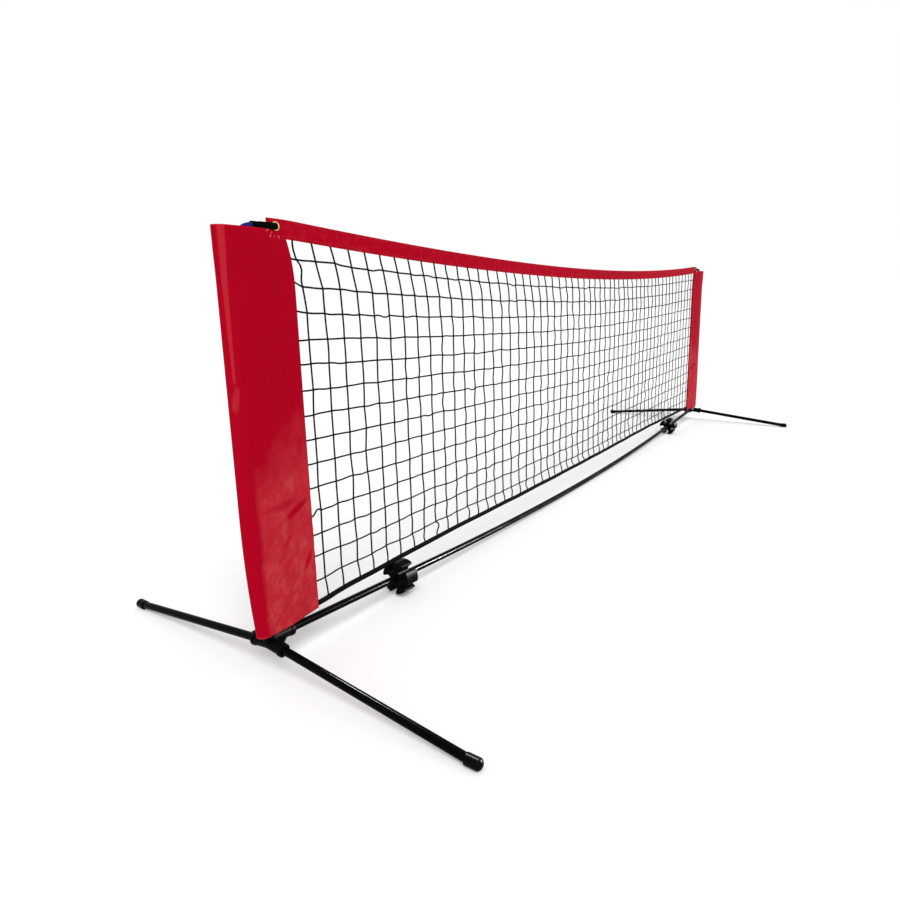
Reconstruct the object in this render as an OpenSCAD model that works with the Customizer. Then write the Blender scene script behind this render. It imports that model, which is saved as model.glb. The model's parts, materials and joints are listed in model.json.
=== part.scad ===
// Portable half-court net: two posts in four-way base hubs, four sloped feet, a bent ground
// rail in four joined tubes, two storage clips on the rail, and a net hung between red sleeves.
// Millimetres. X runs along the net, -Y is the front, +Z is up, and the origin is on the floor
// at the middle of the net.

/* [Frame] */
// Distance between the axes of the two posts
span = 3070; // [2900:1:3100]
// Height of the top of a post's cap above the floor
post_h = 847.5; // [780:0.5:920]
// Outside diameter of the post and foot tubes
tube_d = 16.5; // [15:0.5:18.5]
// Wall of the post and foot tubes
tube_wall = 1.2; // [0.8:0.1:2]
// Sliding clearance of a tube in its socket, on the radius
socket_fit = 0.08; // [0.04:0.01:0.1]

/* [Ground rail] */
// Outside diameter of the rail's tubes
rail_d = 16.5; // [15:0.5:18.5]
// Wall of the rail's tubes
rail_wall = 1.2; // [0.8:0.1:1.6]
// Height of the rail's axis above the floor at mid span
rail_low = 9.5; // [9.5:0.5:16]
// Radius to which the net's pull bends the rail
rail_bend_r = 18000; // [16000:100:18500]
// Half length of the bent stretch, measured along X
rail_bend_half = 1050; // [900:1:1060]
// Length of a joiner inside two neighbouring tubes
joiner_len = 120; // [60:1:180]
// Gap between the ends of two rail tubes
joint_gap = 0.3; // [0.2:0.1:1]

/* [Hub] */
// Height of the crossing of the feet's axes above the floor
foot_rise = 62; // [58:0.5:66]
// Wall of a hub's sockets
hub_wall = 4; // [3:0.25:5]
// How far the outer sockets' bodies hang below the axes of their tubes
hub_drop = 1; // [0:0.25:1.5]
// Length of a foot socket from the post's axis
foot_socket_len = 45; // [40:0.5:60]
// Length of the rail socket from the post's axis
rail_socket_len = 58; // [50:0.5:70]
// Solid web between the post's socket and the ends of the other sockets
hub_web = 4; // [3:0.25:6]
// Width of the raised rim at a socket's mouth
rim_w = 8; // [5:0.5:12]
// Height of that rim above the socket
rim_h = 1.4; // [0.8:0.1:2]
// Rounding of that rim's outer corner
rim_round = 1.6; // [0.5:0.1:2]
// Thickness of the floor under a post in its socket
hub_floor = 6.5; // [4:0.5:8]

/* [Feet] */
// Reach of a foot from the post's axis to the end of its cap, measured along Y
foot_reach = 498; // [420:1:560]
// Outside diameter of a foot's rubber cap
cap_d = 21; // [20:0.5:23]
// Length of that cap
cap_len = 30; // [26:0.5:40]
// Length of its solid nose, from the end of the tube
cap_end = 16; // [10:0.5:18]
// Radius of the dome at its end
cap_dome = 12; // [12:0.5:20]
// Depth of the flat that it stands on
cap_flat = 0.5; // [0.3:0.1:1.5]

/* [Storage clips] */
// Distance of the left storage clip's middle from mid span
clip_left_x = 1133; // [1074:1:1300]
// Distance of the right storage clip's middle from mid span
clip_right_x = 1074; // [1074:1:1300]
// Radius of a clip's lobes
clip_r = 40; // [38:0.5:41]
// Distance of its snap channels from the rail's axis
clip_channel_x = 25; // [24.5:0.25:27]
// Clearance of a snap channel round a post or foot tube, on the radius
clip_channel_fit = 0.1; // [0:0.05:0.3]
// Width of a snap channel's mouth, a little narrower than a tube
clip_mouth_w = 14.6; // [12:0.2:15]
// Rounding of the lips at a mouth
clip_lip_r = 2.5; // [1:0.25:4]
// Length of a clip along the rail
clip_len = 40; // [30:0.5:44]
// Angle of the first snap channel round the rail
clip_turn = 8; // [0:1:72]
// Running clearance of a clip on the rail, on the radius
clip_fit = 0.08; // [0.04:0.01:0.1]

/* [Sleeves] */
// Width of a sleeve at half height, from its outer fold to its inner seam
sleeve_w = 168; // [155:1:185]
// How far a sleeve's outer fold stands outside the post's axis, from the top to its lower third
sleeve_fold = 38.5; // [34:0.5:48]
// How much closer to the post the fold comes at the bottom edge
sleeve_draw = 14; // [0:0.5:18]
// Height of a sleeve's bottom edge above the floor
sleeve_low = 79.5; // [79.5:0.5:90]
// How far a sleeve's top edge lies below the top of the post's cap
sleeve_drop = 0.5; // [0:0.5:6]
// Thickness of the sleeve's coated cloth
cloth_t = 1.2; // [0.8:0.1:1.6]
// Gap between the two layers where they lie flat
layer_gap = 0.6; // [0.4:0.1:1]
// Loose space between the post and the cloth round it
post_ease = 5; // [3:0.1:6]
// How far a sleeve's top inner corner lies below its top edge
corner_drop = 13; // [12:0.5:18]

/* [Net] */
// Height of the head band's ends above the top of the post's cap
band_lift = 23.5; // [12:0.5:26]
// Drop of the head band from its ends to mid span
band_sag = 54.5; // [30:0.5:70]
// How much the straps pull down the last 70 mm at the band's ends
band_tip = 3; // [0:0.5:5]
// Height of the head band
band_h = 35; // [30:0.5:45]
// Thickness of the head band
band_t = 2.4; // [1.6:0.1:3]
// Distance from the post's axis to the end of the head band
band_inset = 75; // [72:0.5:80]
// Side of the net's square mesh
mesh = 50; // [40:1:60]
// Thickness of the net's cord
cord_d = 2.5; // [2:0.1:4]
// Height of the hem strap's middle above the floor
hem_z = 96.5; // [94:0.5:110]
// Height of the hem strap
hem_h = 12; // [8:0.5:14]
// Thickness of the hem strap
hem_t = 2; // [1.6:0.1:3]
// Gap left between the net's sewn edges and what they are sewn to
sewn_gap = 0.3; // [0.2:0.05:0.4]

/* [Tension straps] */
// Distance from the post's axis to the middle of the eyelet
eyelet_x = 95; // [94:0.5:99]
// Distance from the head band's top edge down to the middle of the eyelet
eyelet_drop = 13.6; // [11:0.2:15]
// Outside diameter of an eyelet's flange
eyelet_d = 16.5; // [16:0.5:20]
// Bore of an eyelet
eyelet_bore = 10.4; // [9.5:0.1:11]
// Thickness of an eyelet's brass
eyelet_t = 0.8; // [0.5:0.1:1]
// Height of the strap's webbing
webbing_h = 12; // [10:0.5:12]
// Thickness of the strap's webbing
webbing_t = 1.6; // [1:0.1:1.8]
// Height of the hook's buckle end
buckle_h = 17; // [17:0.5:19]
// How far the buckle end's top edge stands above the nose plate's
buckle_rise = -0.6; // [-1:0.1:2]
// Height of the hook's nose plate
hook_h = 12; // [10.5:0.5:13]
// Thickness of the hook
hook_t = 3; // [2.4:0.1:3.2]
// Length of the hook from its buckle end to the middle of the eyelet
hook_len = 59; // [52:0.5:62]

/* [Hidden] */
$fn = 64;

post_x = span / 2;
eps = 0.01;
steel = "#17191a";
moulding = "#1c1d1f";
rubber = "#101112";
red = "#ad0420";
black = "#141414";
navy = "#1d2a63";
brass = "#c9b25a";

// Feet: the caps stand level on the floor, and the tubes slope down into them
cap_z = cap_d / 2 - cap_flat;
foot_slope = atan((foot_rise - cap_z + 0.5) / (foot_reach - cap_end));
foot_out = (foot_reach - cap_end) / cos(foot_slope);
foot_in = tube_d / 2 + socket_fit + hub_web + 1;
foot_r = tube_d / 2;
cap_fit = 0.05;

// Rail: a circular arc between +-rail_bend_half, and a straight tangent from there to each hub
bend_angle = asin(rail_bend_half / rail_bend_r);
function arc_z(x) = rail_low + rail_bend_r - sqrt(rail_bend_r * rail_bend_r - x * x);
function rail_z(x) = abs(x) <= rail_bend_half ? arc_z(abs(x))
  : arc_z(rail_bend_half) + (abs(x) - rail_bend_half) * tan(bend_angle);
rail_r = rail_d / 2;
rail_joint_x = span / 4;
rail_end_x = post_x - tube_d / 2 - socket_fit - hub_web - 1;
joiner_fit = 0.1;

// Hub
socket_r = foot_r + socket_fit + hub_wall;
rail_socket_r = rail_r + socket_fit + hub_wall;
hub_z = foot_rise - hub_drop;
post_low = hub_z - socket_r + hub_floor;
hub_top = sleeve_low - 1.5;

// Sleeves
sleeve_top = post_h - sleeve_drop;
pocket_half = foot_r + post_ease + cloth_t;
flat_half = cloth_t + layer_gap / 2;
seam_x = post_x - (sleeve_w - sleeve_fold);

// Head band
band_x = post_x - band_inset;
band_top = post_h + band_lift;
function band_z(x) = band_top - band_sag * (1 - pow(x / band_x, 2))
  - band_tip * pow(max(0, 1 - (band_x - abs(x)) / 70), 2);
band_steps = 120;
eyelet_z = band_z(post_x - eyelet_x) - eyelet_drop;
eyelet_wall = 0.6;

// Net: drawn with every second cord
net_x = seam_x - sewn_gap;
net_low = hem_z + hem_h / 2 + sewn_gap;
function net_top(x) = band_z(x) - band_h - sewn_gap;
net_cols = round(2 * net_x / (2 * mesh));
net_rows = round((net_top(net_x) - net_low) / (2 * mesh));
col_w = 2 * net_x / net_cols;
function net_z(x, row) = net_low + (net_top(x) - net_low) * row / net_rows;

// Hook and strap, placed from the eyelet
hook_gap = 0.4;
hook_back = band_t / 2 + eyelet_t + hook_gap;
hook_y = hook_back + hook_t / 2;
buckle_len = 22;
nose_reach = 2.5;
nose_r = 5;
plate_z = eyelet_z - 1;
buckle_outer_x = eyelet_x - hook_len;
bar_w = 3;
slot_w = 2.5;
slot_h = webbing_h + 1;
strap_z = post_h - 3.3 - webbing_h / 2;
buckle_z = plate_z + hook_h / 2 + buckle_rise - buckle_h;

module tube(d, wall, from, to) {
  translate([0, 0, from]) difference() {
    cylinder(d = d, h = to - from);
    translate([0, 0, -1]) cylinder(d = d - 2 * wall, h = to - from + 2);
  }
}

// A foot's own frame: +Z runs outwards along the foot, side is -1 at the front and +1 at the rear
module along_foot(x, side) {
  translate([x, 0, foot_rise]) rotate([-side * (90 + foot_slope), 0, 0]) children();
}

// A frame with +X along the rail where it passes x, on its straight stretch
module along_rail(x) {
  translate([x, 0, rail_z(x)]) rotate([0, x < 0 ? bend_angle : -bend_angle, 0]) children();
}

// A bent bar or tube that follows the rail from x = a to x = b inside the bent stretch
module bent(a, b, r_out, r_in = 0) {
  about_arc(a) rotate_extrude(angle = asin(b / rail_bend_r) - asin(a / rail_bend_r), $fn = 256)
    translate([rail_bend_r, 0]) difference() {
      circle(r = r_out, $fn = 64);
      if (r_in > 0) circle(r = r_in, $fn = 64);
    }
}

// The bend's centre, turned so that +X points at the rail where it passes x
module about_arc(x) {
  translate([0, 0, rail_low + rail_bend_r]) rotate([90, 0, 0])
    rotate([0, 0, asin(x / rail_bend_r) - 90]) children();
}

// A point on the rail's axis in the bent stretch, with -Y running outwards along the rail
module on_arc(x) {
  about_arc(x) translate([rail_bend_r, 0, 0]) children();
}

// ---- base hub: four sockets in one moulding, drawn for the left post ----
// A socket's body along +Z with a rounded rim at its mouth
module socket(r, length) {
  rotate_extrude() {
    square([r, length]);
    translate([0, length - rim_w]) square([r + rim_h, rim_w - rim_round]);
    translate([0, length - rim_w]) square([r + rim_h - rim_round, rim_w]);
    translate([r + rim_h - rim_round, length - rim_round]) circle(r = rim_round, $fn = 24);
  }
}

module foot_socket(side) {
  lug = 3;
  along_foot(-post_x, side) translate([0, side * hub_drop, 0]) {
    socket(socket_r, foot_socket_len);
    // moulded lug on top of the mouth
    translate([-lug, -side * (socket_r + rim_h - 1) - (side > 0 ? lug : 0), foot_socket_len - rim_w])
      cube([2 * lug, lug, rim_w + 2]);
  }
}

module hub() {
  color(moulding) difference() {
    union() {
      translate([-post_x, 0, hub_z]) {
        sphere(r = socket_r);
        cylinder(r = socket_r, h = hub_top - hub_z);
      }
      for (side = [-1, 1]) foot_socket(side);
      along_rail(-post_x) translate([0, 0, -hub_drop]) rotate([0, 90, 0])
        socket(rail_socket_r, rail_socket_len);
      // webs in the corners between the rail socket and the foot sockets
      translate([-post_x, 0, hub_z - 3]) linear_extrude(6)
        polygon([[0, -foot_socket_len + rim_w], [rail_socket_len - rim_w, 0],
                 [0, foot_socket_len - rim_w]]);
    }
    translate([-post_x, 0, post_low]) cylinder(r = foot_r + socket_fit, h = post_h);
    for (side = [-1, 1]) along_foot(-post_x, side) translate([0, 0, foot_in - 1])
      cylinder(r = foot_r + socket_fit, h = foot_socket_len);
    along_rail(-post_x) translate([post_x - rail_end_x - 1, 0, 0]) rotate([0, 90, 0])
      cylinder(r = rail_r + socket_fit, h = rail_socket_len);
  }
}

// ---- ground rail ----
module rail_tube_outer() {
  length = (rail_end_x - rail_bend_half) / cos(bend_angle);
  color(steel) union() {
    bent(-rail_bend_half, -rail_joint_x - joint_gap / 2, rail_r, rail_r - rail_wall);
    // the straight end, set on the end face of the bent stretch
    on_arc(-rail_bend_half) rotate([90, 0, 0]) tube(rail_d, rail_wall, 0, length);
  }
}

module rail_tube_inner() {
  color(steel)
    bent(-rail_joint_x + joint_gap / 2, -joint_gap / 2, rail_r, rail_r - rail_wall);
}

module rail_joiners() {
  r = rail_r - rail_wall - joiner_fit;
  color("#8d9194") for (x = [-rail_joint_x, 0, rail_joint_x])
    bent(x - joiner_len / 2, x + joiner_len / 2, r, r - 1);
}

// ---- feet ----
module foot(x, side) {
  color(steel) along_foot(x, side) tube(tube_d, tube_wall, foot_in, foot_out - cap_fit);
}

module foot_cap(x, side) {
  color(rubber) difference() {
    translate([x, side * (foot_reach - cap_len), cap_z]) rotate([-side * 90, 0, 0]) intersection() {
      cylinder(d = cap_d, h = cap_len);
      union() {
        translate([0, 0, -1]) cylinder(r = cap_dome, h = cap_len - cap_dome + 1);
        translate([0, 0, cap_len - cap_dome]) sphere(r = cap_dome);
      }
    }
    along_foot(x, side) cylinder(r = foot_r + cap_fit, h = foot_out);
    translate([x - cap_d, side * foot_reach - cap_d * 2, -cap_d]) cube([cap_d * 2, cap_d * 4, cap_d]);
  }
}

// ---- storage clips: a star of five snap channels that turns on the rail ----
module clip_star() {
  half = clip_mouth_w / 2;
  side = half + clip_lip_r;
  // middle of the rounding at a lip, which touches the mouth's side and the lobe's edge
  lip = [sqrt(pow(clip_r - clip_lip_r, 2) - side * side), side];
  out = atan2(lip[1], lip[0]);
  round_off = concat([[lip[0], half - 1]],
    [for (i = [0 : 5]) let (a = -90 + (90 + out) * i / 5) lip + clip_lip_r * [cos(a), sin(a)]],
    [(clip_r + 1) * [cos(out), sin(out)], [clip_r + 2, half - 1]]);
  linear_extrude(clip_len, center = true) difference() {
    circle(r = clip_r, $fn = 120);
    circle(r = rail_r + clip_fit);
    for (a = [0:72:288]) rotate(clip_turn + a) {
      translate([clip_channel_x, 0]) circle(r = foot_r + clip_channel_fit);
      translate([clip_channel_x, -half]) square([clip_r, 2 * half]);
      for (s = [0, 1]) mirror([0, s]) polygon(round_off);
    }
  }
}

module storage_clip(x) {
  color(moulding) along_rail(x) rotate([0, 90, 0]) clip_star();
}

// ---- posts ----
post_head = 3;
module post(x) {
  color(steel) translate([x, 0, 0]) tube(tube_d, tube_wall, post_low + 0.2, post_h - post_head);
}

module post_cap(x) {
  stem_r = foot_r - tube_wall - cap_fit;
  color(moulding) translate([x, 0, post_h - post_head]) {
    cylinder(r = foot_r + 1.1, h = post_head);
    translate([0, 0, -18]) cylinder(r = stem_r, h = 18 + eps);
  }
}

// ---- sleeves: a pocket round the post that runs out into two flat layers, drawn for the left ----
// Outer fold and inner seam at height z
function drawn_in(z) = let (t = max(0, 1 - (z - sleeve_low) / 260)) sleeve_draw * t * t;
function fold_at(z) = -post_x - sleeve_fold + drawn_in(z);
function seam_at(z) = let (t = max(0, 1 - (sleeve_top - z) / 110))
  -seam_x - 16 * t * t;
// The layers open towards the top, where the strap comes out
function mouth(z) = let (t = min(1, max(0, (z - (sleeve_top - 90)) / 60))) t * t * (3 - 2 * t);
// The cloth hangs loose towards the bottom edge
function slack(z) = let (t = max(0, 1 - (z - sleeve_low) / 300)) t * t * (3 - 2 * t);
// Half thickness at a distance u from the fold
function pocket(u, w, z) = let (
    rise = 24, round_to = 46, run = w - 14, t = (u - round_to) / (run - round_to))
  u < rise ? sqrt(max(0, 1 - pow(1 - u / rise, 2)))
  : u < round_to ? 1 : u > run ? 0 : pow(cos(90 * t), 1.6 - 0.6 * max(slack(z), mouth(z)));
// The flat stretch opens at the top to let the head band in between the layers
function flat_at(z) = flat_half + (band_t / 2 + sewn_gap - layer_gap / 2) * mouth(z);
function half_at(u, w, z) = flat_at(z) + (pocket_half - flat_at(z)) * pocket(u, w, z);
ring_half = 20;
// Share of the width at step i, closer together at the fold
function share(i) = let (t = i / ring_half) 0.45 * t * t + 0.55 * t;
// A crease of a millimetre or two that wanders down the cloth
function crease(u, w, z) = 1.1 * sin(u * 3.1 + z * 0.9) * sin(z * 0.55 + 40) * min(1, u / w * 2)
  * max(0, 1 - (z - sleeve_low) / 420);
function ring(z, in) = let (
    x0 = fold_at(z) + in * cloth_t, x1 = seam_at(z) - in * cloth_t, w = x1 - x0)
  [for (i = [0 : 2 * ring_half - 1])
    let (k = i <= ring_half ? i : 2 * ring_half - i, front = i <= ring_half ? -1 : 1,
         u = share(k) * w,
         h = k == 0 ? 0 : max(half_at(u + in * cloth_t, w + 2 * in * cloth_t, z) - in * cloth_t,
                              layer_gap / 2 + (1 - in) * cloth_t),
         flat = k == ring_half ? 0 : 1)
    [x0 + u, front * h * flat + crease(u, w, z), z]];
sleeve_rings = 15;
function ring_z(j) = let (t = j / (sleeve_rings - 1)) sleeve_low + (sleeve_top - sleeve_low) * t;
// The front corner under the eyelet falls away towards the seam
drop_from = eyelet_x - 36;
function top_drop(x) = corner_drop
  * pow(min(1, max(0, (x + post_x - drop_from) / (sleeve_w - sleeve_fold - 14 - drop_from))), 2.2);
function settle(p, j) = j < sleeve_rings - 1 ? p : [p[0], p[1], p[2] - top_drop(p[0])];

module sleeve_shell() {
  n = 2 * ring_half;
  m = sleeve_rings;
  points = [for (in = [0, 1], j = [0 : m - 1], p = ring(ring_z(j), in)) settle(p, j)];
  function at(in, j, i) = (in * m + j) * n + i % n;
  walls = [for (in = [0, 1], j = [0 : m - 2], i = [0 : n - 1])
    let (a = at(in, j, i), b = at(in, j, i + 1), c = at(in, j + 1, i + 1), d = at(in, j + 1, i))
    each in == 0 ? [[a, c, b], [a, d, c]] : [[a, b, c], [a, c, d]]];
  ends = [for (j = [0, m - 1], i = [0 : n - 1])
    let (a = at(0, j, i), b = at(0, j, i + 1), c = at(1, j, i + 1), d = at(1, j, i))
    each j == 0 ? [[a, b, c], [a, c, d]] : [[a, c, b], [a, d, c]]];
  polyhedron(points, concat(walls, ends));
}

module sleeve() {
  gap = band_t / 2 + sewn_gap;
  color(red) difference() {
    sleeve_shell();
    translate([-post_x + band_inset - 2, -gap, band_z(seam_x) - band_h - sewn_gap])
      cube([sleeve_w, 2 * gap, 100]);
  }
}

// ---- head band, net and hem ----
module head_band() {
  xs = [for (i = [0 : band_steps]) -band_x + 2 * band_x * i / band_steps];
  top = [for (x = xs) [x, band_z(x)]];
  low = [for (i = [band_steps : -1 : 0]) [xs[i], band_z(xs[i]) - band_h]];
  color(red) difference() {
    translate([0, band_t / 2, 0]) rotate([90, 0, 0]) linear_extrude(band_t)
      polygon(concat(top, low));
    for (side = [-1, 1]) translate([side * (post_x - eyelet_x), 0, eyelet_z]) rotate([90, 0, 0])
      cylinder(d = eyelet_bore + 2 * eyelet_wall + 0.2, h = 20, center = true);
  }
}

module net_mesh() {
  c = cord_d / 2;
  function col_x(i) = -net_x + col_w * i;
  // corner of a gap, moved in by half a cord, or by a whole one at the selvedge
  function lo(x, i) = x + (i == 0 ? 2 * c : c);
  function hi(x, i, n) = x - (i == n - 1 ? 2 * c : c);
  edge = concat([for (i = [0 : net_cols]) [col_x(i), net_top(col_x(i))]],
                [for (i = [net_cols : -1 : 0]) [col_x(i), net_low]]);
  gaps = [for (i = [0 : net_cols - 1], j = [0 : net_rows - 1])
    let (x0 = lo(col_x(i), i), x1 = hi(col_x(i + 1), i, net_cols))
    each [[x0, lo(net_z(x0, j), j)], [x1, lo(net_z(x1, j), j)],
          [x1, hi(net_z(x1, j + 1), j, net_rows)], [x0, hi(net_z(x0, j + 1), j, net_rows)]]];
  first = len(edge);
  count = net_cols * net_rows;
  paths = concat([[for (i = [0 : first - 1]) i]],
                 [for (k = [0 : count - 1]) [for (i = [0 : 3]) first + 4 * k + i]]);
  color(black) translate([0, c, 0]) rotate([90, 0, 0]) linear_extrude(cord_d)
    polygon(concat(edge, gaps), paths);
}

module hem_strap() {
  color(black) translate([-net_x, -hem_t / 2, hem_z - hem_h / 2])
    cube([2 * net_x, hem_t, hem_h]);
}

// ---- eyelets, hooks and straps, drawn for the left post ----
module eyelet() {
  wall = eyelet_bore / 2 + eyelet_wall;
  half = band_t / 2 + 0.1;
  color(brass) translate([-post_x + eyelet_x, 0, eyelet_z]) rotate([90, 0, 0]) difference() {
    union() {
      cylinder(r = wall, h = 2 * (half + eyelet_t), center = true);
      for (s = [0, 1]) mirror([0, 0, s]) translate([0, 0, half]) rotate_extrude() {
        square([eyelet_d / 2 - eyelet_t / 2, eyelet_t]);
        translate([eyelet_d / 2 - eyelet_t / 2, 0]) intersection() {
          circle(r = eyelet_t, $fn = 24);
          square(eyelet_t);
        }
      }
    }
    cylinder(d = eyelet_bore, h = 20, center = true);
  }
}

module hook() {
  x0 = -post_x + buckle_outer_x;
  nose_x = -post_x + eyelet_x;
  tip_x = nose_x + nose_reach - nose_r;
  plate_x = x0 + buckle_len - 2;
  r = 2;
  peg_r = 2.5;
  color(moulding) {
    translate([0, -hook_back, 0]) rotate([90, 0, 0]) linear_extrude(hook_t) difference() {
      union() {
        for (x = [x0 + r, x0 + buckle_len - r], z = [buckle_z + r, buckle_z + buckle_h - r])
          translate([x, z]) circle(r = r);
        translate([x0, buckle_z + r]) square([buckle_len, buckle_h - 2 * r]);
        translate([x0 + r, buckle_z]) square([buckle_len - 2 * r, buckle_h]);
        translate([plate_x, plate_z - hook_h / 2]) square([tip_x - plate_x, hook_h]);
        translate([tip_x, plate_z - hook_h / 2 + nose_r]) square([nose_r, hook_h - 2 * nose_r]);
        for (z = [-1, 1]) translate([tip_x, plate_z + z * (hook_h / 2 - nose_r)]) circle(r = nose_r);
      }
      translate([x0 + bar_w, buckle_z + (buckle_h - slot_h) / 2]) square([slot_w, slot_h]);
    }
    // peg through the eyelet, with a lip that catches behind it
    translate([nose_x, 0, eyelet_z]) rotate([90, 0, 0]) {
      translate([0, 0, -hook_back - 2]) cylinder(r = peg_r, h = 2 * hook_back + 2 + eps);
      translate([-3, 0, -hook_back - 2.5]) cylinder(r = peg_r + 1, h = 1.8);
    }
  }
}

module tension_strap() {
  ring_in = foot_r + 0.3;
  bar_x = buckle_outer_x + bar_w / 2;
  bar_half = [bar_w / 2 + 0.3, hook_t / 2 + 0.3];
  rise = (buckle_z + buckle_h / 2) - strap_z;
  run = bar_x - ring_in - webbing_t;
  start = ring_in + webbing_t / 2;
  color(navy) translate([-post_x, 0, 0]) {
    // loop round the post
    translate([0, 0, strap_z - webbing_h / 2]) difference() {
      cylinder(r = ring_in + webbing_t, h = webbing_h);
      translate([0, 0, -1]) cylinder(r = ring_in, h = webbing_h + 2);
    }
    // doubled run up to the buckle
    steps = 4;
    for (k = [0 : steps - 1]) {
      a = start + (bar_x - bar_half[0] - start) * k / steps;
      b = start + (bar_x - bar_half[0] - start) * (k + 1) / steps;
      ya = -hook_y * (k / steps);
      yb = -hook_y * ((k + 1) / steps);
      z = strap_z + rise * (k + 0.5) / steps;
      translate([0, 0, z - webbing_h / 2]) linear_extrude(webbing_h)
        polygon([[a - 0.2, ya - webbing_t], [b, yb - webbing_t], [b, yb + webbing_t],
                 [a - 0.2, ya + webbing_t]]);
    }
    // loop round the buckle's bar
    translate([bar_x, -hook_y, strap_z + rise - webbing_h / 2]) linear_extrude(webbing_h)
      difference() {
        square(2 * bar_half + [webbing_t, 2 * webbing_t] * 1, center = true);
        square(2 * bar_half, center = true);
      }
  }
}

module right() {
  mirror([1, 0, 0]) children();
}

hub();  // hub_left
right() hub();  // hub_right
rail_tube_outer();  // rail_tube_left_outer
rail_tube_inner();  // rail_tube_left_inner
right() rail_tube_inner();  // rail_tube_right_inner
right() rail_tube_outer();  // rail_tube_right_outer
rail_joiners();
foot(-post_x, -1);  // foot_front_left
foot(-post_x, 1);  // foot_rear_left
foot(post_x, -1);  // foot_front_right
foot(post_x, 1);  // foot_rear_right
foot_cap(-post_x, -1);  // foot_cap_front_left
foot_cap(-post_x, 1);  // foot_cap_rear_left
foot_cap(post_x, -1);  // foot_cap_front_right
foot_cap(post_x, 1);  // foot_cap_rear_right
storage_clip(-clip_left_x);  // storage_clip_left
storage_clip(clip_right_x);  // storage_clip_right
post(-post_x);  // post_left
post(post_x);  // post_right
post_cap(-post_x);  // post_cap_left
post_cap(post_x);  // post_cap_right
sleeve();  // sleeve_left
right() sleeve();  // sleeve_right
head_band();
net_mesh();
hem_strap();
eyelet();  // eyelet_left
right() eyelet();  // eyelet_right
tension_strap();  // tension_strap_left
right() tension_strap();  // tension_strap_right
hook();  // hook_left
right() hook();  // hook_right
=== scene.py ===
# Portable half-court net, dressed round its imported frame. The scene is in metres, the values in millimetres.
import json
import math
import random

import bpy
from mathutils import Matrix, Vector, noise

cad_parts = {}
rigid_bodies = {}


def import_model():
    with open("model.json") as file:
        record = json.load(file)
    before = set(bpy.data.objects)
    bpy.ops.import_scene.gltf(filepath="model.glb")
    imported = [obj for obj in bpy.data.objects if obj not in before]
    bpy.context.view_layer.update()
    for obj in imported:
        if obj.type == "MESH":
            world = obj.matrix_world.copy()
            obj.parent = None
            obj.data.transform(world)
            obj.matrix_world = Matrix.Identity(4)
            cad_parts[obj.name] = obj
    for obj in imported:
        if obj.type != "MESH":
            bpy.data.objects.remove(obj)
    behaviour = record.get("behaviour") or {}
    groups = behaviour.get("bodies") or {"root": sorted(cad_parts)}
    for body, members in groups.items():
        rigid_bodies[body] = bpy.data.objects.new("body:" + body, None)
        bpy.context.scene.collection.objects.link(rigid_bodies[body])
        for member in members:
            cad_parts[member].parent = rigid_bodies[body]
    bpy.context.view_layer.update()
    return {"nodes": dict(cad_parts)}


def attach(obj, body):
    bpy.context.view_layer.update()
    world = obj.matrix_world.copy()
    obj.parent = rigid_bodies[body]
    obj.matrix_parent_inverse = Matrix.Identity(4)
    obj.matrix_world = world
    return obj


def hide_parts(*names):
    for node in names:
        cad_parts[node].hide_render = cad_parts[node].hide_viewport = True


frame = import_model()
mm = 0.001
postX = 1535  # from the middle of the net to each post's axis
foldX = 1573.5  # and to the outer fold of each sleeve
sleeveLow = 79.5  # height of the sleeves' lower edge
print("frame loaded:", len(frame["nodes"]), "nodes")


# small helpers

def linearColour(hexText):
    channels = [int(hexText[i:i + 2], 16) / 255 for i in (1, 3, 5)]
    return [c / 12.92 if c <= 0.04045 else ((c + 0.055) / 1.055) ** 2.4 for c in channels] + [1.0]


def smooth(low, high, value):
    t = min(1.0, max(0.0, (value - low) / (high - low)))
    return t * t * (3 - 2 * t)


def bump(centre, width, value):
    return math.exp(-((value - centre) / width) ** 2)


def makePiece(name, verts, faces, material, body, uvs=None):
    mesh = bpy.data.meshes.new(name)
    mesh.from_pydata([tuple(v) for v in verts], [], faces)
    if uvs:  # one pair for each corner of each face
        layer = mesh.uv_layers.new(name="run")
        for loop, uv in zip(layer.data, uvs):
            loop.uv = uv
    mesh.materials.append(material)
    mesh.polygons.foreach_set("use_smooth", [True] * len(mesh.polygons))
    mesh.validate()
    piece = bpy.data.objects.new(name, mesh)
    bpy.context.scene.collection.objects.link(piece)
    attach(piece, body)
    return piece


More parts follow.
